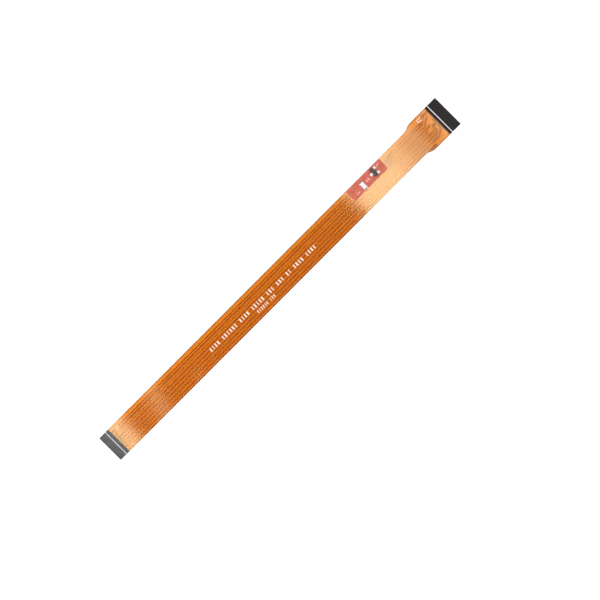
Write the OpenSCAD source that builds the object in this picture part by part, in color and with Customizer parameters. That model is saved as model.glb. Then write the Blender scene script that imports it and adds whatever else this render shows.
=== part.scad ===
// Flat flex camera cable: a two-layer flexible printed circuit that joins a
// 22-contact connector of 0.5 mm pitch to a 31-contact connector of 0.3 mm
// pitch. It lies flat, with the side that carries its parts facing up.
// X runs from the narrow tail to the wide tail, Y across, Z up. The origin is
// under the middle of the cable, at the surface it lies on.

/* [Cable] */
// Length over both tips
cable_l = 150; // [120:1:300]
// Number of contacts on the wide tail, which set its width with their pitch
wide_pins = 22; // [22:1:26]
// Contact pitch on the wide tail
wide_pitch = 0.5; // [0.5:0.01:0.6]
// Number of contacts on the narrow tail, which set the strip's width
narrow_pins = 31; // [29:2:35]
// Contact pitch on the narrow tail
narrow_pitch = 0.3; // [0.28:0.01:0.34]
// Length of the wide tail, from its tip to the end of the flare
wide_tail_l = 11.1; // [11:0.1:16]
// Length of the flare between the strip and the wide tail
flare_l = 3.7; // [2.5:0.1:6]

/* [Layers] */
// Polyimide film that carries the copper
film_t = 0.025; // [0.0125:0.0025:0.05]
// Copper foil on each side of the film
copper_t = 0.018; // [0.009:0.001:0.035]
// Polyimide cover film with its glue, on each side
cover_t = 0.0275; // [0.02:0.0025:0.05]
// Glue line left open between bonded layers
bond_gap = 0.003; // [0.001:0.001:0.005]
// Overall thickness of the wide tail, over its stiffener
wide_tail_t = 0.3; // [0.25:0.01:0.4]
// Overall thickness of the narrow tail, over its stiffener
narrow_tail_t = 0.2; // [0.18:0.01:0.3]

/* [Tails] */
// Length of the stiffener on the wide tail
wide_stiff_l = 4.6; // [4:0.1:7]
// Length of the stiffener on the narrow tail
narrow_stiff_l = 3.9; // [3:0.1:6]
// Bare length of the wide tail's contacts
wide_contact_l = 3.6; // [2.5:0.1:3.9]
// Width of a contact on the wide tail
wide_contact_w = 0.35; // [0.25:0.01:0.4]
// Bare length of the narrow tail's contacts
narrow_contact_l = 1.75; // [1.4:0.05:2.4]
// Width of a contact on the narrow tail
narrow_contact_w = 0.2; // [0.14:0.01:0.22]
// How far every second contact on the narrow tail stops short of the tip
stagger = 0.8; // [0.4:0.05:1.1]

/* [Conductors] */
// Least distance from copper to the cable's edge
edge_clear = 0.2; // [0.15:0.01:0.3]
// Extra room between the edge and the first guard trace
guard_edge_room = 0.195; // [0.05:0.005:0.3]
// Width of the supply trace
supply_w = 1.1; // [0.8:0.05:1.3]
// Gap between the supply trace and its neighbour
supply_gap = 0.275; // [0.15:0.005:0.35]
// Width kept free of guard copper for a signal pair
pair_space = 0.73; // [0.6:0.01:0.8]
// Width of one signal trace
signal_w = 0.1; // [0.07:0.01:0.12]
// Distance between the two traces of a pair, centre to centre
pair_pitch = 0.24; // [0.2:0.01:0.28]
// Least gap between traces where they pass beside the component window
tight_gap = 0.08; // [0.06:0.01:0.09]
// Width of the gap between the ground plane and the copper beside it
plane_gap = 0.12; // [0.08:0.01:0.16]
// Radius of the bends in the traces
bend_r = 1.1; // [0.5:0.1:1.6]

/* [Vias] */
// Diameter of a plated hole
via_d = 0.12; // [0.08:0.01:0.15]
// Diameter of the copper land round a plated hole
land_d = 0.24; // [0.2:0.01:0.26]
// Distance between the rows of ground vias along the cable
stitch_pitch = 9.4; // [7:0.1:20]

/* [Component window] */
// Distance from the wide tip to the window
window_from_tip = 25.85; // [22:0.05:30]
// Length of the window, along the cable
window_l = 14.85; // [13:0.05:20]
// Depth of the window, from the cable's edge
window_d = 4.33; // [4.1:0.01:4.4]
// Radius of the window's inner corner nearest the wide tail
window_r = 0.8; // [0.3:0.1:1.5]
// Gap between the solder mask and the cover film round it
mask_gap = 0.06; // [0.02:0.01:0.1]
// Thickness of the solder mask printed in the window
mask_t = 0.02; // [0.01:0.001:0.025]

/* [Component stiffener] */
// Length of the stiffener under the window
plate_l = 14.9; // [13:0.1:18]
// Width of the stiffener under the window
plate_w = 4.15; // [3.8:0.05:4.2]
// Thickness of the stiffener under the window
plate_t = 0.2; // [0.1:0.01:0.4]
// Film left bare between the stiffener and the cable's edge
plate_edge = 0.75; // [0.5:0.05:0.9]
// Thickness of the glue sheet under the stiffener
glue_t = 0.05; // [0.025:0.005:0.08]
// How far the glue sheet shows beside the stiffener
glue_rim = 0.35; // [0.1:0.05:0.5]

/* [Transistor] */
// Length of the moulded body, across the cable
body_l = 2.9; // [2.7:0.05:3.1]
// Width of the moulded body, along the cable
body_w = 1.3; // [1.2:0.05:1.5]
// Height of the moulded body
body_h = 1.0; // [0.8:0.05:1.2]
// Gap between the moulded body and the board
body_lift = 0.06; // [0.02:0.01:0.1]
// Distance over the tips of opposite leads
lead_span = 2.4; // [2.2:0.05:2.6]
// Width of a lead
lead_w = 0.42; // [0.35:0.01:0.5]
// Thickness of a lead
lead_t = 0.12; // [0.08:0.01:0.18]
// Distance between the two leads on one side
lead_pitch = 1.9; // [1.7:0.05:2]
// Distance from the wide tip to the transistor's centre
transistor_from_tip = 29.98; // [28.4:0.01:30.4]

/* [Chip] */
// Length of the chip over its end caps
chip_l = 2.0; // [1.8:0.05:2.1]
// Width of the chip
chip_w = 1.25; // [1.1:0.05:1.4]
// Height of the chip
chip_h = 0.5; // [0.35:0.05:0.9]
// Length of each end cap
cap_l = 0.4; // [0.25:0.05:0.5]
// Distance from the wide tip to the chip's centre
chip_from_tip = 35.3; // [34.6:0.01:36]
// Distance of the chip's centre from the cable's edge
chip_from_edge = 2.6; // [2.2:0.01:2.7]
// How far solder and pads show beyond a lead or an end cap
solder_reach = 0.3; // [0.15:0.01:0.35]

/* [Hidden] */
$fn = 48;

overlap = 0.2;      // how far a cutting tool runs past what it cuts
bend_step = 9;      // degrees of a trace's bend to each of its edges

// Contacts come in whole numbers
wide_count = round(wide_pins);
narrow_count = round(narrow_pins);

// Outline
strip_w = (narrow_count + 1) * narrow_pitch;
wide_w = (wide_count + 1) * wide_pitch;
x_wide = cable_l / 2;
x_narrow = -cable_l / 2;
flare_x1 = x_wide - wide_tail_l;
flare_x0 = flare_x1 - flare_l;
edge_y = strip_w / 2;
wide_edge_y = wide_w / 2;

// Heights, from the surface under the cable to the top
z_glue = plate_t;
z_back_cover = z_glue + glue_t;
z_back_copper = z_back_cover + cover_t + bond_gap;
z_film = z_back_copper + copper_t + bond_gap;
z_front_copper = z_film + film_t + bond_gap;
z_front_cover = z_front_copper + copper_t + bond_gap;
z_top = z_front_cover + cover_t;
z_board = z_front_copper + copper_t;

// Rows of conductors on the front, counted from the edge away from the window
lane = (strip_w - 2 * edge_clear - guard_edge_room - supply_w - supply_gap
        + pair_space) / 7.67;
guard_w = lane - pair_space;
guard_y0 = -edge_y + edge_clear + guard_edge_room + guard_w / 2;
supply_y = edge_y - edge_clear - supply_w / 2;
enable_y = guard_y0 + 5.32 * lane;
bus_y = guard_y0 + 6.15 * lane;
function pair_y(k) = guard_y0 + (k - 0.5) * lane;            // k = 1..5
function guard_y(k) = guard_y0 +                             // k = 1..8
    (k < 7 ? k - 1 : k == 7 ? 5.68 : 6.67) * lane;

// Component window
window_x1 = x_wide - window_from_tip;
window_x0 = window_x1 - window_l;
window_y = edge_y - window_d;

// The same rows squeezed past the window
pair_w = pair_pitch + signal_w;
tight_y = window_y - 1.5 * tight_gap;
tight_bus_y = tight_y - pair_w / 2;
tight_enable_y = tight_y - pair_w - tight_gap - signal_w / 2;
tight_pair5_y = tight_enable_y - signal_w / 2 - tight_gap - pair_w / 2;
tight_space = pair_w + 2 * tight_gap;
tight_lane = (tight_pair5_y + edge_y - edge_clear - guard_edge_room / 2
              + tight_space / 2) / 5;
tight_guard_w = tight_lane - tight_space;
function tight_pair_y(k) = tight_pair5_y - (5 - k) * tight_lane;
function tight_guard_y(k) = tight_pair_y(k) - tight_lane / 2;
dive_x = window_x0 + 4.65;
climb_x = window_x1 + 1.18;

// Where the traces turn and end, as distances from the wide tip
front_end = 4.1;
pour_start = 9.9;
pour_end = 4.85;
pair1_climb = 5.15;
pair1_chamfer = 1.8;
pair2_climb = 6.7;
pair2_end = 5.95;
pair3_end = 7.7;
pair4_end = 9.5;
pair5_end = 7.6;
pair5_lead = 1.6;
enable_turn = 8.5;
enable_level = 6.4;
enable_end = 6.05;
bus_climb = 9.1;
supply_step = 8.55;
back_supply_step = 9.2;
far_guard_start = 9.6;
guard_hole_end = 10.6;

// The same from the narrow tip
enable_start = 4.9;
bus_start = 4.2;
supply_start = 3.1;
guard_start = 5.2;
root_gap = 0.3;
supply_hole_start = 4;
supply_hole_end = 6;
supply_hole_pitch = 0.6;

// Steps between the two traces of a pair, so that both turn alike
via_step = 0.18;
end_step = 0.2;
climb_step = 0.1;
chamfer_step = 0.065;

front_end_x = x_wide - front_end;
pour_x0 = x_wide - pour_start;
pour_x1 = x_wide - pour_end;
pour_gap = (wide_pitch - signal_w) / 2 + 0.01;
wide_root_x = front_end_x - land_d / 2;
plane_end_x = front_end_x - 0.6;
narrow_root_x = x_narrow + narrow_contact_l + root_gap;
narrow_via_from_tip = [4.2, 3.8, 4.7, 5.6, 6.6];
guard_start_x = x_narrow + guard_start;
guard_hole_x = [guard_start_x + 0.2, x_wide - guard_hole_end];

// Parts on the window
transistor_x = x_wide - transistor_from_tip;
transistor_y = edge_y - 2.0;
chip_x = x_wide - chip_from_tip;
chip_y = edge_y - chip_from_edge;
foot_l = (lead_span - body_w) / 2 - 0.15;

// Paths -------------------------------------------------------------------

// A point of a path is [x, y, width of the copper there].
function xy(p) = [p[0], p[1]];
function unit(v) = v / norm(v);
function left_of(v) = [-v[1], v[0]];
function turned(v, a) = [v[0] * cos(a) - v[1] * sin(a), v[0] * sin(a) + v[1] * cos(a)];

// The points of the arc of radius r that rounds the corner b between a and c
function corner(a, b, c, r) =
    let (u = unit(xy(a) - xy(b)), v = unit(xy(c) - xy(b)),
         inner = acos(max(-1, min(1, u * v))))
    inner > 179.5 ? [b] :
    let (cut = min(r / tan(inner / 2),
                   0.49 * norm(xy(a) - xy(b)), 0.49 * norm(xy(c) - xy(b))),
         arc_r = cut * tan(inner / 2),
         centre = xy(b) + unit(u + v) * arc_r / sin(inner / 2),
         spoke = xy(b) + u * cut - centre,
         n = ceil((180 - inner) / bend_step),
         sweep = (u[0] * v[1] - u[1] * v[0] > 0 ? -1 : 1) * (180 - inner))
    [for (i = [0:n]) let (p = centre + turned(spoke, sweep * i / n)) [p[0], p[1], b[2]]];

function rounded(path, r = bend_r) = concat(
    [path[0]],
    [for (i = [1:1:len(path) - 2]) each corner(path[i - 1], path[i], path[i + 1], r)],
    [path[len(path) - 1]]);

// The sideways step at point i of a path, mitred, for a ribbon of width 2
function side_step(path, i) =
    let (last = len(path) - 1,
         before = unit(xy(path[max(i, 1)]) - xy(path[max(i, 1) - 1])),
         after = unit(xy(path[min(i, last - 1) + 1]) - xy(path[min(i, last - 1)])),
         n = unit(left_of(before) + left_of(after)))
    n / (n * left_of(before));

// A flat ribbon along a path, with extra width on each side
module ribbon(path, extra = 0) {
    polygon(concat(
        [for (i = [0:len(path) - 1])
            xy(path[i]) - side_step(path, i) * (path[i][2] / 2 + extra)],
        [for (i = [len(path) - 1:-1:0])
            xy(path[i]) + side_step(path, i) * (path[i][2] / 2 + extra)]));
}

// A trace with a round land at each end that has a plated hole
module trace(path, lands = [true, true], extra = 0, r = bend_r) {
    ribbon(rounded(path, r), extra);
    if (lands[0]) translate(xy(path[0])) circle(d = land_d + 2 * extra);
    if (lands[1]) translate(xy(path[len(path) - 1])) circle(d = land_d + 2 * extra);
}

// Clears copper round the two traces of a pair, and what would be left between
// them as an island
module pair_clearance(paths, gap, lands = [true, true], r = bend_r) {
    for (path = paths) trace(path, lands, gap, r);
    trace(middle(paths), lands, gap, r);
}
function middle(paths) = [for (i = [0:len(paths[0]) - 1]) (paths[0][i] + paths[1][i]) / 2];

// A row that passes the window: straight at y, then at 45 degrees down to
// tight, past the window, and back. Neighbouring slopes keep one distance, and
// a row that hardly drops takes a gentler slope.
function passing(y, tight, w, tight_w) =
    let (foot_x = (sqrt(2) - 1) * (tight - tight_y), run = max(y - tight, 0.6))
    [[dive_x + foot_x - run, y, w], [dive_x + foot_x, tight, tight_w],
     [climb_x - foot_x, tight, tight_w], [climb_x - foot_x + run, y, w]];

// The two traces of pair k lie at side = -1 and 1
function pair_row(k, side) = pair_y(k) + side * pair_pitch / 2;
function bus_row(side) = bus_y + side * pair_pitch / 2;
function narrow_via_x(k, side) = x_narrow + narrow_via_from_tip[k - 1] + via_step * side;

// Contacts on the wide tail, counted from 1, and on the narrow tail, as the
// one nearest below a row
function wide_contact_y(n) = -wide_edge_y + n * wide_pitch;
function narrow_contact_y(row, side) =
    narrow_pitch * (round(row / narrow_pitch - 0.5) + (side + 1) / 2);

// Where each pair leaves the front near the wide tail: pairs 1 and 2 climb
// across the others on the front, pairs 3 to 5 drop to the back.
wide_shift = round((wide_count - 22) / 2);
wide_pair_contacts = [for (n = [14, 11, 5, 2, 8]) n + wide_shift];
enable_contact = min(18 + wide_shift, wide_count - 4);
ground_contacts = [for (n = [1 + wide_shift:3:wide_count - 3]) if (n > 0) n];
function wide_pair_y(k, side) = wide_contact_y(wide_pair_contacts[k - 1] + (side + 1) / 2);
function wide_pair_end(k, side) =
    k == 1 ? let (x = x_wide - pair1_climb - climb_step * side,
                  cut = pair1_chamfer - chamfer_step * side)
        [[x - cut, pair_row(1, side), signal_w], [x, pair_row(1, side) + cut, signal_w],
         [x, wide_pair_y(1, side), signal_w],
         [front_end_x, wide_pair_y(1, side), signal_w]] :
    k == 2 ? let (x = x_wide - pair2_climb - climb_step * side)
        [[x, pair_row(2, side), signal_w], [x, wide_pair_y(2, side), signal_w],
         [x_wide - pair2_end, wide_pair_y(2, side), signal_w]] :
    [[x_wide - [pair3_end, pair4_end, pair5_end][k - 3] + end_step * side, pair_row(k, side), signal_w]];

function pair_path(k, side) = concat(
    [[narrow_via_x(k, side), pair_row(k, side), signal_w]],
    passing(pair_row(k, side), tight_pair_y(k) + side * pair_pitch / 2, signal_w, signal_w),
    wide_pair_end(k, side));

enable_path = concat(
    [[x_narrow + enable_start, enable_y, signal_w]],
    passing(enable_y, tight_enable_y, signal_w, signal_w),
    [[x_wide - enable_turn, enable_y, signal_w],
     [x_wide - enable_level, wide_contact_y(enable_contact), signal_w],
     [x_wide - enable_end, wide_contact_y(enable_contact), signal_w]]);

function bus_path(side) = concat(
    [[x_narrow + bus_start + via_step * side, bus_row(side), signal_w]],
    passing(bus_row(side), tight_bus_y + side * pair_pitch / 2, signal_w, signal_w),
    let (y = wide_contact_y(wide_count - 2 + (side + 1) / 2), x = x_wide - bus_climb)
    [[x, bus_row(side), signal_w], [x + y - bus_row(side), y, signal_w],
     [front_end_x, y, signal_w]]);

function pair_paths(k) = [pair_path(k, -1), pair_path(k, 1)];
bus_paths = [bus_path(-1), bus_path(1)];
function reversed(path) = [for (i = [len(path) - 1:-1:0]) path[i]];

// Guards 1 to 5 pass the window, 6 to 8 stop at it and start again behind it
function guard_path(k) = concat(
    [[guard_start_x, guard_y(k), guard_w]],
    passing(guard_y(k), tight_guard_y(k), guard_w, tight_guard_w),
    [[pour_x0 + overlap, guard_y(k), guard_w]]);
guard_stop_x = window_x0 + 2.2;
guard_restart_x = [window_x1 + 3.3, window_x1 + 3.6, window_x1 + 3.9];

// The supply runs along the edge on both sides of the film. Its inner edge
// lies at y0, steps up at 45 degrees at step_x, and then lies at y1.
function supply_area(x0, x1, y0, y1, step_x, grow = 0) =
    let (slip = grow * tan(22.5))
    [[x0 - grow, y0 - grow], [step_x + slip, y0 - grow],
     [step_x + y1 - y0 + slip, y1 - grow], [x1, y1 - grow], [x1, wide_w], [x0 - grow, wide_w]];
supply_end_y = wide_contact_y(wide_count);
front_supply_y = edge_y - edge_clear - supply_w;
function front_supply_area(grow = 0) = supply_area(x_narrow + supply_start, front_end_x + land_d / 2,
    front_supply_y, supply_end_y - wide_pitch / 2 - signal_w / 2, x_wide - supply_step, grow);
back_supply_y = front_supply_y - 0.1;
back_supply_end_y = wide_contact_y(wide_count - 3) + wide_pitch / 2;
function back_supply_area(grow = 0) = supply_area(narrow_root_x, plane_end_x, back_supply_y,
    back_supply_end_y, x_wide - back_supply_step, grow);

// Traces on the back, from a plated hole to the root of a contact
function wide_back_path(k, side) =
    let (start = wide_pair_end(k, side)[len(wide_pair_end(k, side)) - 1],
         y = wide_pair_y(k, side), lead = k == 5 ? pair5_lead : 0)
    concat([start], k == 2 ? [] : [[start[0] + lead, y, signal_w]],
           [[wide_root_x, y, signal_w]]);
function wide_back_r(k) = k == 4 ? 2.9 : bend_r;
enable_back_path = [enable_path[len(enable_path) - 1],
                    [wide_root_x, wide_contact_y(enable_contact), signal_w]];
function narrow_back_path(start, y) =
    [start, [narrow_root_x + 0.8, start[1], signal_w],
     [narrow_root_x + 0.3, y, signal_w], [narrow_root_x, y, signal_w]];

narrow_back_paths = concat(
    [for (k = [1:5], side = [-1, 1])
        narrow_back_path(pair_path(k, side)[0], narrow_contact_y(pair_y(k), side))],
    [for (side = [-1, 1])
        narrow_back_path(bus_path(side)[0], narrow_contact_y(bus_y, side))],
    [narrow_back_path(enable_path[0], narrow_contact_y(enable_y - narrow_pitch / 2, 1))]);

// Plated holes: at the ends of the signals, at the ends of the guards, and
// in rows along the guards between them
signal_holes = concat(
    [for (k = [1:5], side = [-1, 1]) each let (p = pair_path(k, side)) [p[0], p[len(p) - 1]]],
    [for (side = [-1, 1]) each let (p = bus_path(side)) [p[0], p[len(p) - 1]]],
    [enable_path[0], enable_path[len(enable_path) - 1]]);
guard_holes = [for (k = [1:8], x = guard_hole_x) [x, guard_y(k)]];
supply_holes = [for (x = [supply_hole_start:supply_hole_pitch:supply_hole_end]) [x_narrow + x, supply_y],
                [front_end_x, supply_end_y]];
stitch_n = floor((window_x0 - guard_start_x - 5) / stitch_pitch);
stitch_holes = [for (i = [1:stitch_n], k = [2:6]) [guard_start_x + i * stitch_pitch, guard_y(k)]];
holes = concat(signal_holes, guard_holes, supply_holes, stitch_holes);

// Outlines ----------------------------------------------------------------

// The cable's outline from x0 to x1, drawn in by inset. Each side of the
// flare is two equal arcs that meet tangent at its middle.
module outline(x0 = x_narrow, x1 = x_wide, inset = 0) {
    intersection() {
        translate([x0, -wide_w]) square([x1 - x0, 2 * wide_w]);
        for (side = [0, 1]) mirror([0, side]) half_outline(inset);
    }
}

module half_outline(inset) {
    rise = wide_edge_y - edge_y;
    turn = 2 * atan(rise / flare_l);
    r = flare_l / (2 * sin(turn));
    y0 = edge_y - inset;
    y1 = wide_edge_y - inset;
    mid = [(flare_x0 + flare_x1) / 2, (y0 + y1) / 2];
    translate([x_narrow, 0]) square([flare_x0 - x_narrow, y0]);
    translate([flare_x1, 0]) square([x_wide - flare_x1, y1]);
    difference() {
        translate([flare_x0, 0]) square([flare_l / 2, mid[1]]);
        translate([flare_x0, y0 + r]) circle(r = r, $fn = 96);
    }
    intersection() {
        translate([mid[0], 0]) square([flare_l / 2, y1]);
        union() {
            translate([mid[0], 0]) square([flare_l / 2, mid[1]]);
            translate([flare_x1, y1 - r]) circle(r = r, $fn = 96);
        }
    }
}

// The window's outline, open to the edge, with one round inner corner
module window(inset = 0) {
    x0 = window_x0 + inset;
    x1 = window_x1 - inset;
    y0 = window_y + inset;
    y1 = edge_y + overlap;
    translate([x0, y0]) square([x1 - x0 - window_r, y1 - y0]);
    translate([x0, y0 + window_r]) square([x1 - x0, y1 - y0 - window_r]);
    translate([x1 - window_r, y0 + window_r]) circle(r = window_r);
}

module layer(z, t) {
    translate([0, 0, z]) linear_extrude(t) children();
}

// Films -------------------------------------------------------------------

module base_film() {
    color("orange") difference() {
        layer(z_film, film_t) outline();
        for (p = holes)
            translate([p[0], p[1], z_film - overlap]) cylinder(d = via_d, h = film_t + 2 * overlap, $fn = 24);
    }
}

module front_cover_film() {
    color("darkorange", 0.5) layer(z_front_cover, cover_t) difference() {
        outline();
        window();
    }
}

module back_cover_film() {
    color("darkorange", 0.5) layer(z_back_cover, cover_t)
        outline(x_narrow + narrow_contact_l, x_wide - wide_contact_l);
}

// The mask is printed over the traces in the window and left off at the pads
module component_mask() {
    color("indianred") layer(z_front_cover, mask_t) difference() {
        intersection() {
            window(mask_gap);
            outline();
        }
        for (p = pad_places) translate(p[0]) square(p[1] + [2, 2] * tight_gap, center = true);
    }
}

// Copper on the front -------------------------------------------------------

module front_copper() {
    color("goldenrod") layer(z_front_copper, copper_t) children();
}

module front_supply_trace() {
    front_copper() difference() {
        intersection() {
            outline(inset = edge_clear);
            polygon(front_supply_area());
        }
        for (p = pad_places) translate(p[0]) square(p[1] + [2, 2] * tight_gap, center = true);
    }
}

// Near the wide tail, guards 2 to 5 and the far ends of 6 and 7 run into one pour
// of copper that fills the room between pair 1 and the bus. Guard 1 has its own.
module front_ground() {
    front_copper() {
        for (k = [2:5]) ribbon(rounded(guard_path(k)));
        for (k = [6, 7]) far_guard(k, pour_x0 + overlap);
        difference() {
            pour(concat(reversed(middle(bus_paths)), middle(pair_paths(1))));
            for (k = [1:5]) pair_clearance(pair_paths(k), pour_gap);
            pair_clearance(bus_paths, pour_gap);
            trace(enable_path, extra = pour_gap);
        }
    }
}

module guard_trace_1() {
    front_copper() {
        ribbon(rounded(guard_path(1)));
        difference() {
            pour(concat(reversed(middle(pair_paths(1))), [[x_narrow, -wide_w, 0], [x_wide, -wide_w, 0]]));
            pair_clearance(pair_paths(1), pour_gap);
        }
    }
}

module pour(path) {
    intersection() {
        outline(pour_x0, pour_x1, edge_clear);
        polygon([for (p = path) xy(p)]);
    }
}
module far_guard(k, x1) {
    ribbon([[guard_restart_x[k - 6], guard_y(k), guard_w], [x1, guard_y(k), guard_w]]);
}
// The near parts of guards 6 to 8, which stop at the window
module guard_trace(k) {
    front_copper() {
        ribbon([[guard_start_x, guard_y(k), guard_w], [guard_stop_x, guard_y(k), guard_w]]);
        if (k == 8) far_guard(k, x_wide - far_guard_start);
    }
}
module guard_trace_6() { guard_trace(6); }
module guard_trace_7() { guard_trace(7); }
module guard_trace_8() { guard_trace(8); }

module signal_pair(k) {
    front_copper() for (side = [-1, 1]) trace(pair_path(k, side));
}
module signal_pair_1() { signal_pair(1); }
module signal_pair_2() { signal_pair(2); }
module signal_pair_3() { signal_pair(3); }
module signal_pair_4() { signal_pair(4); }
module signal_pair_5() { signal_pair(5); }

module enable_trace() {
    front_copper() trace(enable_path);
}

module bus_traces() {
    front_copper() for (side = [-1, 1]) trace(bus_path(side));
}

// Copper on the back ---------------------------------------------------------

module back_copper() {
    color("peru") layer(z_back_copper, copper_t) children();
}

// The plane stops short of the wide tail's contacts and links to every third
// one. It is cleared round the supply and the traces that cross it.
module ground_plane() {
    back_copper() {
        difference() {
            outline(narrow_root_x, plane_end_x, edge_clear);
            polygon(back_supply_area(plane_gap));
            for (path = narrow_back_paths) trace(path, [true, false], plane_gap);
            for (k = [2:5])
                pair_clearance([for (side = [-1, 1]) wide_back_path(k, side)], plane_gap,
                               [true, false], wide_back_r(k));
            trace(enable_back_path, [true, false], plane_gap);
        }
        for (n = ground_contacts) tail_link(n);
    }
}

module back_supply_trace() {
    back_copper() {
        intersection() {
            outline(inset = edge_clear);
            polygon(back_supply_area());
        }
        tail_link(wide_count);
    }
}

// Copper from the plane's end to the root of contact n on the wide tail
module tail_link(n) {
    w = wide_contact_w * 0.6;
    translate([plane_end_x - 0.3, wide_contact_y(n) - w / 2])
        square([wide_root_x - plane_end_x + 0.3, w]);
}

module wide_tail_fanout() {
    back_copper() {
        for (k = [2:5], side = [-1, 1])
            trace(wide_back_path(k, side), [true, false], 0, wide_back_r(k));
        trace(enable_back_path, [true, false]);
    }
}

module narrow_tail_fanout() {
    back_copper() for (path = narrow_back_paths) trace(path, [true, false]);
}

module plated_vias() {
    color("peru") for (p = holes)
        translate([p[0], p[1], z_film - bond_gap]) cylinder(d = via_d, h = film_t + 2 * bond_gap, $fn = 24);
}

module wide_tail_contacts() {
    color("gold") layer(z_back_copper, copper_t)
        for (n = [1:wide_count]) translate([wide_root_x, wide_contact_y(n) - wide_contact_w / 2])
            square([x_wide - wide_root_x, wide_contact_w]);
}

// Every second contact stops short of the tip
module narrow_tail_contacts() {
    color("gold") layer(z_back_copper, copper_t)
        for (n = [1:narrow_count]) {
            x = x_narrow + (n % 2 == 0 ? stagger : 0);
            translate([x, -edge_y + n * narrow_pitch - narrow_contact_w / 2])
                square([narrow_root_x - x, narrow_contact_w]);
        }
}

// Stiffeners ------------------------------------------------------------------

module tail_stiffener(x0, x1, w, tail_t) {
    z = z_top + bond_gap;
    color([0.09, 0.085, 0.08]) layer(z, z_back_copper + tail_t - z)
        translate([x0, -w / 2]) square([x1 - x0, w]);
}
module wide_tail_stiffener() { tail_stiffener(x_wide - wide_stiff_l, x_wide, wide_w, wide_tail_t); }
module narrow_tail_stiffener() { tail_stiffener(x_narrow, x_narrow + narrow_stiff_l, strip_w, narrow_tail_t); }

plate_x = (window_x0 + window_x1) / 2;
plate_y = edge_y - plate_edge - plate_w / 2;
module component_stiffener() {
    color("dimgray") translate([plate_x - plate_l / 2, plate_y - plate_w / 2])
        cube([plate_l, plate_w, plate_t]);
}

// The glue sheet shows round three sides and is flush with the fourth
module stiffener_glue() {
    color("burlywood") layer(z_glue, glue_t)
        translate([plate_x - plate_l / 2 - glue_rim, plate_y - plate_w / 2 - glue_rim])
            square([plate_l + 2 * glue_rim, plate_w + glue_rim]);
}

// Parts on the window -------------------------------------------------------

// Places of the leads: side along the cable, and offset across it
gate_place = [1, lead_pitch / 2];
source_place = [1, -lead_pitch / 2];
drain_place = [-1, 0];
lead_places = [gate_place, source_place, drain_place];
lead_pad = [foot_l + 2 * solder_reach, lead_w + 0.3];
cap_pad = [chip_w + 0.1, cap_l + solder_reach];
function lead_pad_at(place) = [
    transistor_x + place[0] * (lead_span / 2 - foot_l / 2), transistor_y + place[1]];
function cap_pad_at(side) = [chip_x, chip_y + side * (chip_l + solder_reach - cap_l) / 2];
pad_places = concat(
    [for (place = lead_places) [lead_pad_at(place), lead_pad]],
    [for (side = [-1, 1]) [cap_pad_at(side), cap_pad]]);

module pad(place, size) {
    color("silver") layer(z_front_copper, copper_t) translate(place) square(size, center = true);
}
module transistor_pads() { for (place = lead_places) pad(lead_pad_at(place), lead_pad); }
module chip_pads() { for (side = [-1, 1]) pad(cap_pad_at(side), cap_pad); }

// The body is a moulding whose sides draw in above and below the leads
lead_z = z_board + body_lift + body_h * 0.42;
module drawn_profile(w) {
    z0 = z_board + body_lift;
    z1 = z0 + body_h;
    polygon([[-w / 2 + 0.05, z0], [w / 2 - 0.05, z0], [w / 2, lead_z],
             [w / 2 - 0.09, z1], [-w / 2 + 0.09, z1], [-w / 2, lead_z]]);
}
module transistor_body() {
    color([0.16, 0.16, 0.17]) translate([transistor_x, transistor_y, 0]) intersection() {
        rotate([90, 0, 0]) translate([0, 0, -body_l]) linear_extrude(2 * body_l) drawn_profile(body_w);
        rotate([90, 0, 90]) translate([0, 0, -body_w]) linear_extrude(2 * body_w) drawn_profile(body_l);
    }
}

// A gull-wing lead: out of the body, down, and along the board
module lead(place) {
    foot_z = z_board + lead_t / 2;
    path = [[body_w / 2, lead_z, lead_t], [lead_span / 2 - foot_l - 0.02, lead_z, lead_t],
            [lead_span / 2 - foot_l + 0.03, foot_z, lead_t], [lead_span / 2, foot_z, lead_t]];
    color("lightgray") translate([transistor_x, transistor_y + place[1], 0])
        rotate([0, 0, place[0] > 0 ? 0 : 180]) rotate([90, 0, 0])
            translate([0, 0, -lead_w / 2]) linear_extrude(lead_w) ribbon(rounded(path, 0.12));
}
module gate_lead() { lead(gate_place); }
module source_lead() { lead(source_place); }
module drain_lead() { lead(drain_place); }

// Solder round a foot: a low dome that the foot stands in
solder_h = 0.2;
module transistor_solder() {
    r = lead_w / 2 + solder_reach * 0.7;
    crown = (r * r + solder_h * solder_h) / (2 * solder_h);
    color("whitesmoke") for (place = lead_places) {
        toe_x = transistor_x + place[0] * (lead_span / 2 - 0.02);
        difference() {
            intersection() {
                translate([toe_x, transistor_y + place[1], z_board + solder_h - crown]) sphere(r = crown);
                translate([toe_x, transistor_y + place[1], z_board]) cylinder(r = r, h = solder_h + overlap);
                translate([lead_pad_at(place)[0], lead_pad_at(place)[1], z_board + 1])
                    cube([lead_pad[0], lead_pad[1], 2], center = true);
            }
            // the foot lies in the dome, with nothing over it or behind it
            translate([transistor_x + (place[0] > 0 ? -1 : -lead_span / 2),
                       transistor_y + place[1] - lead_w / 2, z_board])
                cube([lead_span / 2 + 1, lead_w, 1]);
        }
    }
}

module chip_body() {
    color("gainsboro") translate([chip_x - chip_w / 2, chip_y - chip_l / 2 + cap_l, z_board + 0.01])
        cube([chip_w, chip_l - 2 * cap_l, chip_h - 0.02]);
}

module chip_end_caps() {
    color("whitesmoke") for (side = [-1, 1])
        translate([chip_x - chip_w / 2, chip_y + side * (chip_l - cap_l) / 2 - cap_l / 2, z_board])
            cube([chip_w, cap_l, chip_h]);
}

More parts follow.
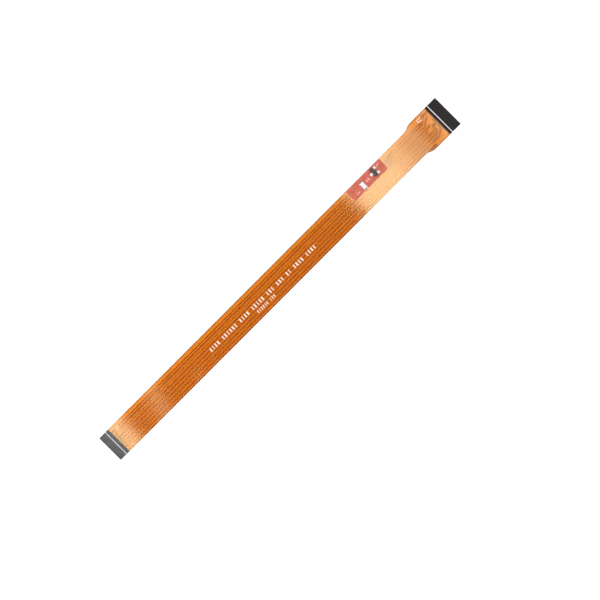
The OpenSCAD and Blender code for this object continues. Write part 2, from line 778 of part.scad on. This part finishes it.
// Solder at each end of the chip: a fillet that curves up the end cap
module chip_solder() {
    r = min(solder_reach, chip_h - 0.1);
    color("lightgray") for (side = [-1, 1])
        translate([chip_x, chip_y + side * chip_l / 2, z_board]) rotate([0, 0, side > 0 ? 0 : 180])
            rotate([90, 0, 90]) translate([0, 0, -chip_w / 2]) linear_extrude(chip_w) difference() {
                square(r);
                translate([r + 0.02, r + 0.02]) circle(r = r);
            }
}

base_film();
front_cover_film();
back_cover_film();
component_mask();
front_supply_trace();
front_ground();
guard_trace_1();
guard_trace_6();
guard_trace_7();
guard_trace_8();
signal_pair_1();
signal_pair_2();
signal_pair_3();
signal_pair_4();
signal_pair_5();
enable_trace();
bus_traces();
ground_plane();
back_supply_trace();
wide_tail_fanout();
narrow_tail_fanout();
plated_vias();
wide_tail_contacts();
narrow_tail_contacts();
wide_tail_stiffener();
narrow_tail_stiffener();
component_stiffener();
stiffener_glue();
transistor_pads();
chip_pads();
transistor_body();
gate_lead();
source_lead();
drain_lead();
transistor_solder();
chip_body();
chip_end_caps();
chip_solder();
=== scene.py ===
import bpy
import math
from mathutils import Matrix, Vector


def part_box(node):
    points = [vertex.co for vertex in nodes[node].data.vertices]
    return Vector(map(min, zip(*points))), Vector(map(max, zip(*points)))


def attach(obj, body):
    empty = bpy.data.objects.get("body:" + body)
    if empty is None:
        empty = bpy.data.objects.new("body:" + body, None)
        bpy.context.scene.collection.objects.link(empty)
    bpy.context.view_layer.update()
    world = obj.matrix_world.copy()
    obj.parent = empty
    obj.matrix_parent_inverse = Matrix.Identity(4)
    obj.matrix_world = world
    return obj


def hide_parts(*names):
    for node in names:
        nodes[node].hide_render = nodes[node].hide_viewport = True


# Flat flex cable, 150 mm long, lying component side up.
# +X is the wide tail, +Y the edge with the component window, the floor is z = 0.
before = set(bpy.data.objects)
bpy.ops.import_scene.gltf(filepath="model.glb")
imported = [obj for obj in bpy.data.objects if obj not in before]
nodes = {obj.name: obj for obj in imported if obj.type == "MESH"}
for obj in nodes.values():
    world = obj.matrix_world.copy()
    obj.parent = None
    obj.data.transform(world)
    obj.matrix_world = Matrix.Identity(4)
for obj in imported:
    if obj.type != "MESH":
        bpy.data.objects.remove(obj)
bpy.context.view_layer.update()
mm = 0.001
print("frame loaded:", len(nodes), "nodes")


# camera: straight down, turned so the cable runs to the upper right

view = {
    "width": 188.4 * mm,      # what the square picture covers at the cable
    "height": 600 * mm,
    "centre": (0.23 * mm, -9.12 * mm),
    "turn": -45.05,
    "sensor": 36,             # millimetres
}

camData = bpy.data.cameras.new("camera")
camData.sensor_width = view["sensor"]
camData.lens = view["sensor"] * view["height"] / view["width"]
camData.clip_start = 10 * mm
camera = bpy.data.objects.new("camera", camData)
bpy.context.scene.collection.objects.link(camera)
camera.location = (*view["centre"], view["height"])
camera.rotation_euler = (0, 0, math.radians(view["turn"]))
bpy.context.scene.camera = camera
print("camera set")


# helpers for materials

def linear(hexCode):
    # sRGB hex to the linear colour that a socket takes
    out = []
    for i in (0, 2, 4):
        c = int(hexCode[i:i + 2], 16) / 255
        out.append(c / 12.92 if c <= 0.04045 else ((c + 0.055) / 1.055) ** 2.4)
    return (*out, 1)


def newMaterial(name):
    mat = bpy.data.materials.new(name)
    mat.use_nodes = True
    mat.node_tree.nodes.clear()
    return mat, mat.node_tree


def addNode(tree, kind, settings=None, **links):
    # one node, its properties, then each socket by name: a value or a socket of another node
    n = tree.nodes.new(kind)
    for key, value in (settings or {}).items():
        setattr(n, key, value)
    for key, value in links.items():
        key = key.replace("_", " ")
        socket = n.inputs[int(key)] if key.isdigit() else n.inputs[key]
        if isinstance(value, bpy.types.NodeSocket):
            tree.links.new(value, socket)
        else:
            socket.default_value = value
    return n


def setEnds(blend, ends):
    # where a colour ramp's two ends lie, and their colours
    for end, (place, colour) in zip(blend.color_ramp.elements, ends):
        end.position = place
        end.color = colour


def finishMaterial(tree, shader):
    addNode(tree, "ShaderNodeOutputMaterial", Surface=shader)


# the lie of the laminate: long shallow waves that all its layers share

wave = {
    "length": 26 * mm,     # crest to crest along the cable
    "across": 0.35,        # as many across it for each one along it
    "height": 0.03 * mm,
}


def laminateWaves(tree):
    coords = addNode(tree, "ShaderNodeTexCoord")
    scaled = addNode(tree, "ShaderNodeMapping", Vector=coords.outputs["Object"],
                     Scale=(1 / wave["length"], wave["across"] / wave["length"], 0))
    slow = addNode(tree, "ShaderNodeTexNoise", Vector=scaled.outputs[0], Scale=1.0,
                   Detail=1.5, Roughness=0.4)
    return addNode(tree, "ShaderNodeBump", Height=slow.outputs["Fac"], Strength=1.0,
                   Distance=wave["height"])


# polyimide film, cast then laminated: clear amber, glossy, it shows what lies under it

film = {
    "cover": "F7E2A2",       # what one pass through a face of the cover film lets by
    "base": "EFD49A",
    "margin": "D8B070",      # the film along the cut edge is tinted browner: painted shade along the edge
    "gloss": 0.06,
    "ior": 1.7,
    "body": 0.03,            # share of the light that the film itself scatters
}


def polyimideFilm(name, tint, body):
    mat, tree = newMaterial(name)
    waves = laminateWaves(tree)
    inside = addNode(tree, "ShaderNodeBsdfTransparent", Color=linear(tint))
    scatter = addNode(tree, "ShaderNodeBsdfDiffuse", Color=linear(body))
    sheet = addNode(tree, "ShaderNodeMixShader", Fac=film["body"],
                    **{"1": inside.outputs[0], "2": scatter.outputs[0]})
    gloss = addNode(tree, "ShaderNodeBsdfGlossy", Color=(1, 1, 1, 1), Roughness=film["gloss"],
                    Normal=waves.outputs[0])
    mirror = addNode(tree, "ShaderNodeFresnel", IOR=film["ior"])
    both = addNode(tree, "ShaderNodeMixShader", Fac=mirror.outputs[0],
                   **{"1": sheet.outputs[0], "2": gloss.outputs[0]})
    finishMaterial(tree, both.outputs[0])
    return mat


coverFilm = polyimideFilm("polyimideCoverFilm", film["cover"], "D88A2A")
baseFilm = polyimideFilm("polyimideBaseFilm", film["base"], "B8641A")
# the browner film for the rim: painted shade along the cut edge
filmEdgeShade = polyimideFilm("paintedEdgeShadeFilm", film["margin"], "8A5218")


# rolled copper foil: satin, faint grain along the cable

rolling = {
    "long": 3 * mm,        # rolling lines, drawn coarse enough to show
    "apart": 0.25 * mm,
    "spread": 0.05,        # of the roughness, either way
}


def copperFoil(name, colour, rough):
    mat, tree = newMaterial(name)
    coords = addNode(tree, "ShaderNodeTexCoord")
    grain = addNode(tree, "ShaderNodeMapping", Vector=coords.outputs["Object"],
                    Scale=(1 / rolling["long"], 1 / rolling["apart"], 1))
    lines = addNode(tree, "ShaderNodeTexNoise", Vector=grain.outputs[0], Scale=1.0, Detail=3.0)
    tone = addNode(tree, "ShaderNodeValToRGB", Fac=lines.outputs["Fac"])
    setEnds(tone, [(0.3, linear(colour[0])), (0.7, linear(colour[1]))])
    sheen = addNode(tree, "ShaderNodeMapRange", Value=lines.outputs["Fac"],
                    To_Min=rough - rolling["spread"], To_Max=rough + rolling["spread"])
    waves = laminateWaves(tree)
    metal = addNode(tree, "ShaderNodeBsdfPrincipled", Base_Color=tone.outputs[0], Metallic=1.0,
                    Roughness=sheen.outputs[0], Normal=waves.outputs[0])
    finishMaterial(tree, metal.outputs[0])
    return mat


copper = copperFoil("rolledCopperFoil", ("F2C2A0", "FFD2B2"), 0.5)
gold = copperFoil("goldOverNickel", ("F4DDA8", "FFEDC4"), 0.38)


# plain finishes with a fine grain: two close tones, and a roughness that varies a little

grainSpread = 0.08         # of the roughness, either way
smoothest = 0.03


def grained(name, light, dark, rough, size, relief, metallic=0.0, ior=1.5):
    mat, tree = newMaterial(name)
    coords = addNode(tree, "ShaderNodeTexCoord")
    spots = addNode(tree, "ShaderNodeTexNoise", Vector=coords.outputs["Object"],
                    Scale=1 / size, Detail=4.0, Roughness=0.6)
    tone = addNode(tree, "ShaderNodeValToRGB", Fac=spots.outputs["Fac"])
    setEnds(tone, [(0.35, linear(dark)), (0.65, linear(light))])
    gloss = addNode(tree, "ShaderNodeMapRange", Value=spots.outputs["Fac"],
                    To_Min=max(rough - grainSpread, smoothest), To_Max=rough + grainSpread)
    bumps = addNode(tree, "ShaderNodeBump", Height=spots.outputs["Fac"], Strength=1.0,
                    Distance=relief)
    skin = addNode(tree, "ShaderNodeBsdfPrincipled", Base_Color=tone.outputs[0],
                   Roughness=gloss.outputs[0], Metallic=metallic, Normal=bumps.outputs[0])
    if not metallic:
        skin.inputs["IOR"].default_value = ior
    finishMaterial(tree, skin.outputs[0])
    return mat


# screen printed and cured: brick red, half gloss
redMask = grained("printedSolderMask", "C8624C", "B44C3A", 0.35, 1.2 * mm, 0.002 * mm)
# pressed with a matte release sheet: near black, hardly a shine
blackSheet = grained("matteBlackPolyimideSheet", "17110F", "0F0B0A", 0.4, 0.8 * mm, 0.0006 * mm,
                     ior=1.3)
# pressed bare: glossy, it mirrors the lamps; its colour is also a lighter mauve grey than the matte
# sheet's, a painted sheen
sheenPaintedBlackSheet = grained("glossyBlackSheetPaintedSheen", "2E2028", "22171D", 0.09, 0.8 * mm, 0.0002 * mm,
                      ior=1.7)
# sawn glass epoxy: dull grey brown
greyPlate = grained("glassEpoxyPlate", "6E6260", "5C5250", 0.6, 0.5 * mm, 0.004 * mm)
# cured glue sheet: tan, seen only at the plate's rim
glueSheet = grained("thermosetGlueSheet", "D8A878", "C48F5E", 0.5, 0.8 * mm, 0.004 * mm)
# moulded with a spark-eroded face: charcoal, even
moulding = grained("epoxyMoulding", "3A3A3C", "2A2A2C", 0.5, 0.15 * mm, 0.003 * mm)
# fired: pale, faintly mauve
ceramic = grained("bariumTitanateCeramic", "E9E1E6", "D6CCD6", 0.35, 0.3 * mm, 0.002 * mm)
# plated: soft bright grey
tin = grained("matteTin", "F0EEEC", "DEDCDA", 0.5, 0.2 * mm, 0.002 * mm, metallic=1.0)
# melted and set: bright, with a faint random grain; the chip's fillets get a darker grey copy,
# painted shade at the chip's ends
solder = grained("reflowedSolder", "F4F1EE", "E4E0DC", 0.18, 0.3 * mm, 0.004 * mm, metallic=1.0)
shadedChipSolder = grained("chipSolderPaintedShade", "A8A4A4", "8E8A8A", 0.3, 0.2 * mm, 0.004 * mm, metallic=1.0)
# screen printed inks: flat, a cool one for the lines and a warm one for the legend
lineInk = grained("greyWhiteLineInk", "DAD0DA", "C8BECA", 0.55, 0.3 * mm, 0.001 * mm)
ink = grained("whiteLegendInk", "F6DDCA", "E9CDB8", 0.55, 0.3 * mm, 0.001 * mm)

finishOf = {
    "front_cover_film": (coverFilm, "cover_film"),
    "back_cover_film": (coverFilm, "cover_film"),
    "component_mask": (redMask, "red_mask"),
    "wide_tail_contacts": (gold, "gold_plating"),
    "narrow_tail_contacts": (gold, "gold_plating"),
    "wide_tail_stiffener": (blackSheet, "black_stiffener"),
    # lighter mauve grey than the other stiffener: painted sheen on a glossy black sheet
    "narrow_tail_stiffener": (sheenPaintedBlackSheet, "black_stiffener"),
    "component_stiffener": (greyPlate, "grey_stiffener"),
    "stiffener_glue": (glueSheet, "glue_sheet"),
    "transistor_pads": (solder, "solder"),
    "chip_pads": (solder, "solder"),
    "transistor_body": (moulding, "moulded_black"),
    "gate_lead": (tin, "tinned_lead"),
    "source_lead": (tin, "tinned_lead"),
    "drain_lead": (tin, "tinned_lead"),
    "transistor_solder": (solder, "solder"),
    "chip_body": (ceramic, "ceramic"),
    "chip_end_caps": (tin, "tinned_lead"),
    # the darker solder copy on the chip: painted shade at its ends
    "chip_solder": (shadedChipSolder, "solder"),
}

for name, node in nodes.items():
    mat, slotName = finishOf.get(name, (copper, "copper"))
    node.data.materials.clear()
    node.data.materials.append(mat)
print("materials set")


# helpers for pieces

def deselectAll():
    if bpy.context.object and bpy.context.object.mode != "OBJECT":
        bpy.ops.object.mode_set(mode="OBJECT")
    bpy.ops.object.select_all(action="DESELECT")


def pickVerts(obj, test):
    # selects the vertices that pass the test, in edit mode
    bpy.ops.object.mode_set(mode="OBJECT")
    for v in obj.data.vertices:
        v.select = test(v.co)
    for part in (obj.data.edges, obj.data.polygons):
        for e in part:
            e.select = all(obj.data.vertices[i].select for i in e.vertices)
    bpy.ops.object.mode_set(mode="EDIT")
    bpy.ops.mesh.select_mode(type="VERT")


def plate(name, size, centre):
    # a flat plate's top face at its size and place, ready to be shaped
    deselectAll()
    bpy.ops.mesh.primitive_plane_add(size=1, location=centre)
    obj = bpy.context.object
    obj.name = name
    obj.scale = (size[0], size[1], 1)
    bpy.ops.object.transform_apply(location=True, rotation=True, scale=True)
    return obj


def settle(obj, mat):
    # gives the piece its finish and lets it ride on the cable
    obj.data.materials.clear()
    obj.data.materials.append(mat)
    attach(obj, "root")
    return obj


# the strip: the polyimide base that carries everything, cut with a flared wide tail

strip = {
    "length": 150 * mm,
    "width": 9.6 * mm,
    "wideWidth": 11.5 * mm,
    "tailLength": 11.1 * mm,
    "flareLength": 3.7 * mm,
    "flareCuts": 14,
    "straightCuts": 30,       # over the whole length; the flare has its own
    "margin": 0.18 * mm,      # no copper comes this near the edge
}

filmLow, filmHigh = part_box("base_film")


def halfWidthAt(x):
    # two equal arcs that meet at the middle of the flare
    x1 = strip["length"] / 2 - strip["tailLength"]
    x0 = x1 - strip["flareLength"]
    low, high = strip["width"] / 2, strip["wideWidth"] / 2
    if x <= x0 or x >= x1:
        return low if x <= x0 else high
    turn = 2 * math.atan((high - low) / strip["flareLength"])
    r = strip["flareLength"] / (2 * math.sin(turn))
    if x < (x0 + x1) / 2:
        return low + r - math.sqrt(r * r - (x - x0) ** 2)
    return high - r + math.sqrt(r * r - (x1 - x) ** 2)


def makeStrip():
    half = strip["length"] / 2
    obj = plate("flexStrip", (strip["length"], strip["width"]), (0, 0, filmLow.z))
    flareEnd = half - strip["tailLength"]
    flareStart = flareEnd - strip["flareLength"]
    cuts = []
    for i in range(1, strip["straightCuts"]):
        x = -half + strip["length"] * i / strip["straightCuts"]
        if x < flareStart:
            cuts.append(x)
    for i in range(strip["flareCuts"] + 1):
        cuts.append(flareEnd - strip["flareLength"] * (1 - i / strip["flareCuts"]))
    bpy.ops.object.mode_set(mode="EDIT")
    for x in cuts:
        bpy.ops.mesh.select_all(action="SELECT")
        bpy.ops.mesh.bisect(plane_co=(x, 0, 0), plane_no=(1, 0, 0))
    for x in cuts + [half]:
        grow = halfWidthAt(x) / (strip["width"] / 2)
        if grow > 1:
            pickVerts(obj, lambda co: abs(co.x - x) < 0.01 * mm)
            bpy.ops.transform.resize(value=(1, grow, 1), center_override=(x, 0, filmLow.z))
    bpy.ops.mesh.select_all(action="SELECT")
    bpy.ops.mesh.inset(thickness=strip["margin"], use_boundary=True)
    bpy.ops.mesh.select_all(action="SELECT")
    bpy.ops.mesh.extrude_region_move(TRANSFORM_OT_translate={"value": (0, 0, filmHigh.z - filmLow.z)})
    bpy.ops.mesh.select_all(action="SELECT")
    bpy.ops.mesh.normals_make_consistent(inside=False)
    bpy.ops.object.mode_set(mode="OBJECT")
    return obj


flexStrip = settle(makeStrip(), baseFilm)
flexStrip.data.materials.append(filmEdgeShade)
for face in flexStrip.data.polygons:      # the rim that the inset left takes the browner film, painted shade along the cut edge
    room = halfWidthAt(face.center.x) - abs(face.center.y)
    ends = strip["length"] / 2 - abs(face.center.x)
    face.material_index = int(min(room, ends) < strip["margin"] * 0.9)
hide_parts("base_film")
print("strip made:", len(flexStrip.data.polygons), "faces")


# legend ink: insertion lines on the stiffeners, pin marks, and plain dashes where print goes

legend = {
    "thick": 0.008 * mm,
    "lift": 0.001 * mm,       # off what it is printed on
    "corner": 0.22,           # of a dash's lesser side
    "lineInset": 0.02 * mm,   # both ends of a line together
    "lines": [  # distance from the tail's tip, width, node it lies on, which end
        (3.6 * mm, 0.28 * mm, "wide_tail_stiffener", 1),
        (2.65 * mm, 0.25 * mm, "narrow_tail_stiffener", -1),
    ],
    "rows": [  # first x, y, height, pitch, dashes in each group
        (-30.6 * mm, -0.47 * mm, 1.35 * mm, 1.09 * mm, (4, 6, 4, 5, 3, 3, 2, 4, 4)),
        (-11.6 * mm, -2.45 * mm, 1.0 * mm, 0.79 * mm, (6, 3)),
    ],
    "dashShares": (0.46, 0.28, 0.4, 0.5, 0.34),   # of the pitch, in turn
    "marks": [  # x, y, length, width: pin marks and part marks
        (65.9 * mm, 4.3 * mm, 0.3 * mm, 1.4 * mm), (66.8 * mm, 4.75 * mm, 1.0 * mm, 0.3 * mm),
        (66.8 * mm, 3.8 * mm, 1.0 * mm, 0.3 * mm),
        (-68.9 * mm, 3.0 * mm, 0.25 * mm, 1.2 * mm), (-68.3 * mm, 3.3 * mm, 0.7 * mm, 0.25 * mm),
        (-68.7 * mm, -3.8 * mm, 0.9 * mm, 0.25 * mm),
    ],
    "maskMarks": [  # the same on the solder mask, beside the parts
        (41.6 * mm, 2.45 * mm, 0.2 * mm, 0.8 * mm), (42.3 * mm, 2.45 * mm, 0.2 * mm, 0.8 * mm),
        (36.6 * mm, 1.55 * mm, 0.5 * mm, 0.2 * mm), (37.4 * mm, 1.55 * mm, 0.5 * mm, 0.2 * mm),
        (47.4 * mm, 3.75 * mm, 0.9 * mm, 0.18 * mm), (40.0 * mm, 0.75 * mm, 0.3 * mm, 0.3 * mm),
    ],
}


def inkPlate(size, centre):
    obj = plate("inkDash", size, centre)
    bpy.ops.object.mode_set(mode="EDIT")
    bpy.ops.mesh.select_all(action="SELECT")
    bpy.ops.mesh.bevel(offset=min(size) * legend["corner"], segments=2, affect="VERTICES")
    bpy.ops.mesh.select_all(action="SELECT")
    bpy.ops.mesh.extrude_region_move(TRANSFORM_OT_translate={"value": (0, 0, legend["thick"])})
    bpy.ops.mesh.select_all(action="SELECT")
    bpy.ops.mesh.normals_make_consistent(inside=False)
    bpy.ops.object.mode_set(mode="OBJECT")
    return obj


def joined(made, name):
    deselectAll()
    for obj in made:
        obj.select_set(True)
    bpy.context.view_layer.objects.active = made[0]
    bpy.ops.object.join()
    made[0].name = name
    return made[0]


def makeLines():
    made = []
    for fromTip, width, node, side in legend["lines"]:
        low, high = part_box(node)
        x = (high.x - fromTip) if side > 0 else (low.x + fromTip)
        length = high.y - low.y - legend["lineInset"]
        made.append(inkPlate((width, length), (x, 0, high.z + legend["lift"])))
    return joined(made, "insertionLines")


def makeLegend():
    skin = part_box("front_cover_film")[1].z + legend["lift"]
    made = []
    for x, y, height, pitch, groups in legend["rows"]:
        turn = 0
        for count in groups:
            for _ in range(count):
                share = legend["dashShares"][turn % len(legend["dashShares"])]
                made.append(inkPlate((pitch * share, height), (x, y, skin)))
                x += pitch
                turn += 1
            x += pitch
    for x, y, length, width in legend["marks"]:
        made.append(inkPlate((length, width), (x, y, skin)))
    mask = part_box("component_mask")[1].z + legend["lift"]
    for x, y, length, width in legend["maskMarks"]:
        made.append(inkPlate((length, width), (x, y, mask)))
    return joined(made, "legendInk")


insertionLines = settle(makeLines(), lineInk)
legendInk = settle(makeLegend(), ink)
print("legend made")


# the cable is one free flat cord, tip to tip


# floor and room: a pale table that glows a little to the eye, white walls, a dim ceiling

room = {
    "floorSize": 6,
    "floorGlow": 0.25,
    "wallTop": (0.6, (1, 1, 1, 1)),
    "ceiling": (0.9, (0.12, 0.12, 0.12, 1)),
}


def makeFloor():
    deselectAll()
    bpy.ops.mesh.primitive_plane_add(size=room["floorSize"], location=(0, 0, 0))
    floor = bpy.context.object
    floor.name = "floor"
    mat, tree = newMaterial("paleFloor")
    paint = addNode(tree, "ShaderNodeBsdfDiffuse", Color=linear("F4F4F4"))
    glow = addNode(tree, "ShaderNodeEmission", Color=(1, 1, 1, 1), Strength=room["floorGlow"])
    both = addNode(tree, "ShaderNodeAddShader", **{"0": paint.outputs[0], "1": glow.outputs[0]})
    rays = addNode(tree, "ShaderNodeLightPath")
    seen = addNode(tree, "ShaderNodeMixShader", Fac=rays.outputs["Is Camera Ray"],
                   **{"1": paint.outputs[0], "2": both.outputs[0]})
    finishMaterial(tree, seen.outputs[0])
    floor.data.materials.append(mat)


def makeSky():
    world = bpy.data.worlds.new("studio")
    bpy.context.scene.world = world
    world.use_nodes = True
    sky = world.node_tree
    sky.nodes.clear()
    direction = addNode(sky, "ShaderNodeTexCoord")
    upness = addNode(sky, "ShaderNodeSeparateXYZ", Vector=direction.outputs["Generated"])
    ceiling = addNode(sky, "ShaderNodeValToRGB", Fac=upness.outputs["Z"])
    setEnds(ceiling, [room["wallTop"], room["ceiling"]])
    rays = addNode(sky, "ShaderNodeLightPath")
    shown = addNode(sky, "ShaderNodeMix", {"data_type": "RGBA"}, Factor=rays.outputs["Is Camera Ray"],
                    **{"6": ceiling.outputs[0], "7": (1, 1, 1, 1)})      # its two colours
    back = addNode(sky, "ShaderNodeBackground", Color=shown.outputs[2], Strength=1.0)
    addNode(sky, "ShaderNodeOutputWorld", Surface=back.outputs[0])


makeFloor()
makeSky()


# lamps: two soft boxes, and strip lights that only the gloss shows

white = (1, 1, 1)

lamps = [  # name, place, size, turn about its own axis, aimed at, watts, colour
    ("keySoftbox", (-0.38, 0.27, 1.1), (0.5, 0.5), 0, (0, 0, 0), 5.7, white),
    ("fillSoftbox", (0.34, -0.31, 1.1), (0.5, 0.5), 0, (0, 0, 0), 4.8, white),
]

stripLights = {
    "height": 0.8,
    "colour": (0.82, 1.0, 0.86),      # cool tubes
}

# Narrow strip lights that the gloss of the film mirrors to a viewer above the
# cable: where they show on it (first and last x, first and last y, in mm),
# their turn, and how bright they are
mirrored = [
    ("glareLong", 34, 52, -9, 9, 4, 4.4),
    ("glareFade", 52, 57.5, -9, 9, 0, 3.4),
    ("glareFlare", 58, 64, -9, 9, 0, 2.0),
    ("glareWideEnd", 68.3, 70.3, -9, 9, 0, 4.0),
    ("glareNarrowEnd", -74.2, -66.2, -9, 9, 0, 3.8),
    ("glareBand", -55.5, -51.5, -7, 9, -12, 1.6),
    ("glintSmall", -39.6, -38.6, -4.6, -2.2, 0, 3.0),
]

for name, x0, x1, y0, y1, turn, bright in mirrored:
    out = stripLights["height"] / view["height"]
    spot = [(x0 + x1) / 2 * mm, (y0 + y1) / 2 * mm]
    place = [p + (p - c) * out for p, c in zip(spot, view["centre"])]
    size = [(x1 - x0) * mm * (1 + out), (y1 - y0) * mm * (1 + out)]
    watts = bright * math.pi * size[0] * size[1]
    lamps.append((name, (*place, stripLights["height"]), size, turn, (*place, 0), watts,
                  stripLights["colour"]))

for name, place, size, turn, aim, watts, colour in lamps:
    data = bpy.data.lights.new(name, "AREA")
    data.shape = "RECTANGLE"
    data.size, data.size_y = size
    data.energy = watts
    data.color = colour
    lamp = bpy.data.objects.new(name, data)
    bpy.context.scene.collection.objects.link(lamp)
    lamp.location = place
    lamp.rotation_euler = (Vector(aim) - Vector(place)).to_track_quat("-Z", "Y").to_euler()
    lamp.rotation_euler.rotate_axis("Z", math.radians(turn))

bpy.context.scene.view_settings.view_transform = "Standard"
print("stage set")
